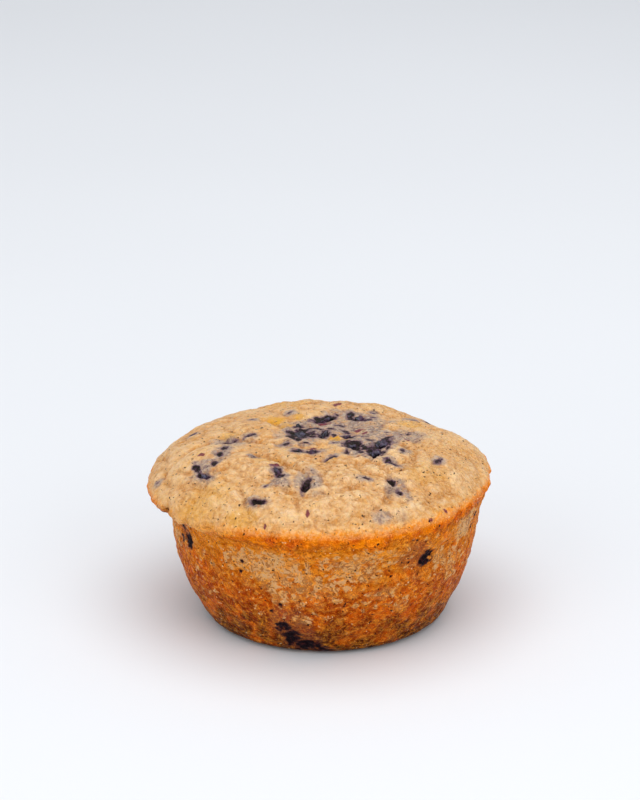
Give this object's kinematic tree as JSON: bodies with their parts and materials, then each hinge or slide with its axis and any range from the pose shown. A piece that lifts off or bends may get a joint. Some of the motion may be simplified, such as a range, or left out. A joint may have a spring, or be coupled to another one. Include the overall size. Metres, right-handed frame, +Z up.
{
  "type": "muffin",
  "caption": "Low muffin baked in a plain metal cup, with tapered sides, a flat foot, a browned lip and a broad domed top with pieces of dark fruit.",
  "frame": {"origin": "centre of the bounding box in plan, on the surface the muffin stands on", "axes": "+Z up through the dome; -Y is the front, the side seen most directly in the picture; +X is to its right"},
  "size_m": [0.0739, 0.0725, 0.0392],
  "materials": {
    "crumb": "baked crumb, matte with a faint sheen on the browned crust",
    "fruit": "cooked dark fruit skin, wrinkled, slightly moist"
  },
  "bodies": {
    "root": {"muffin": "crumb"}
  },
  "joints": []
}
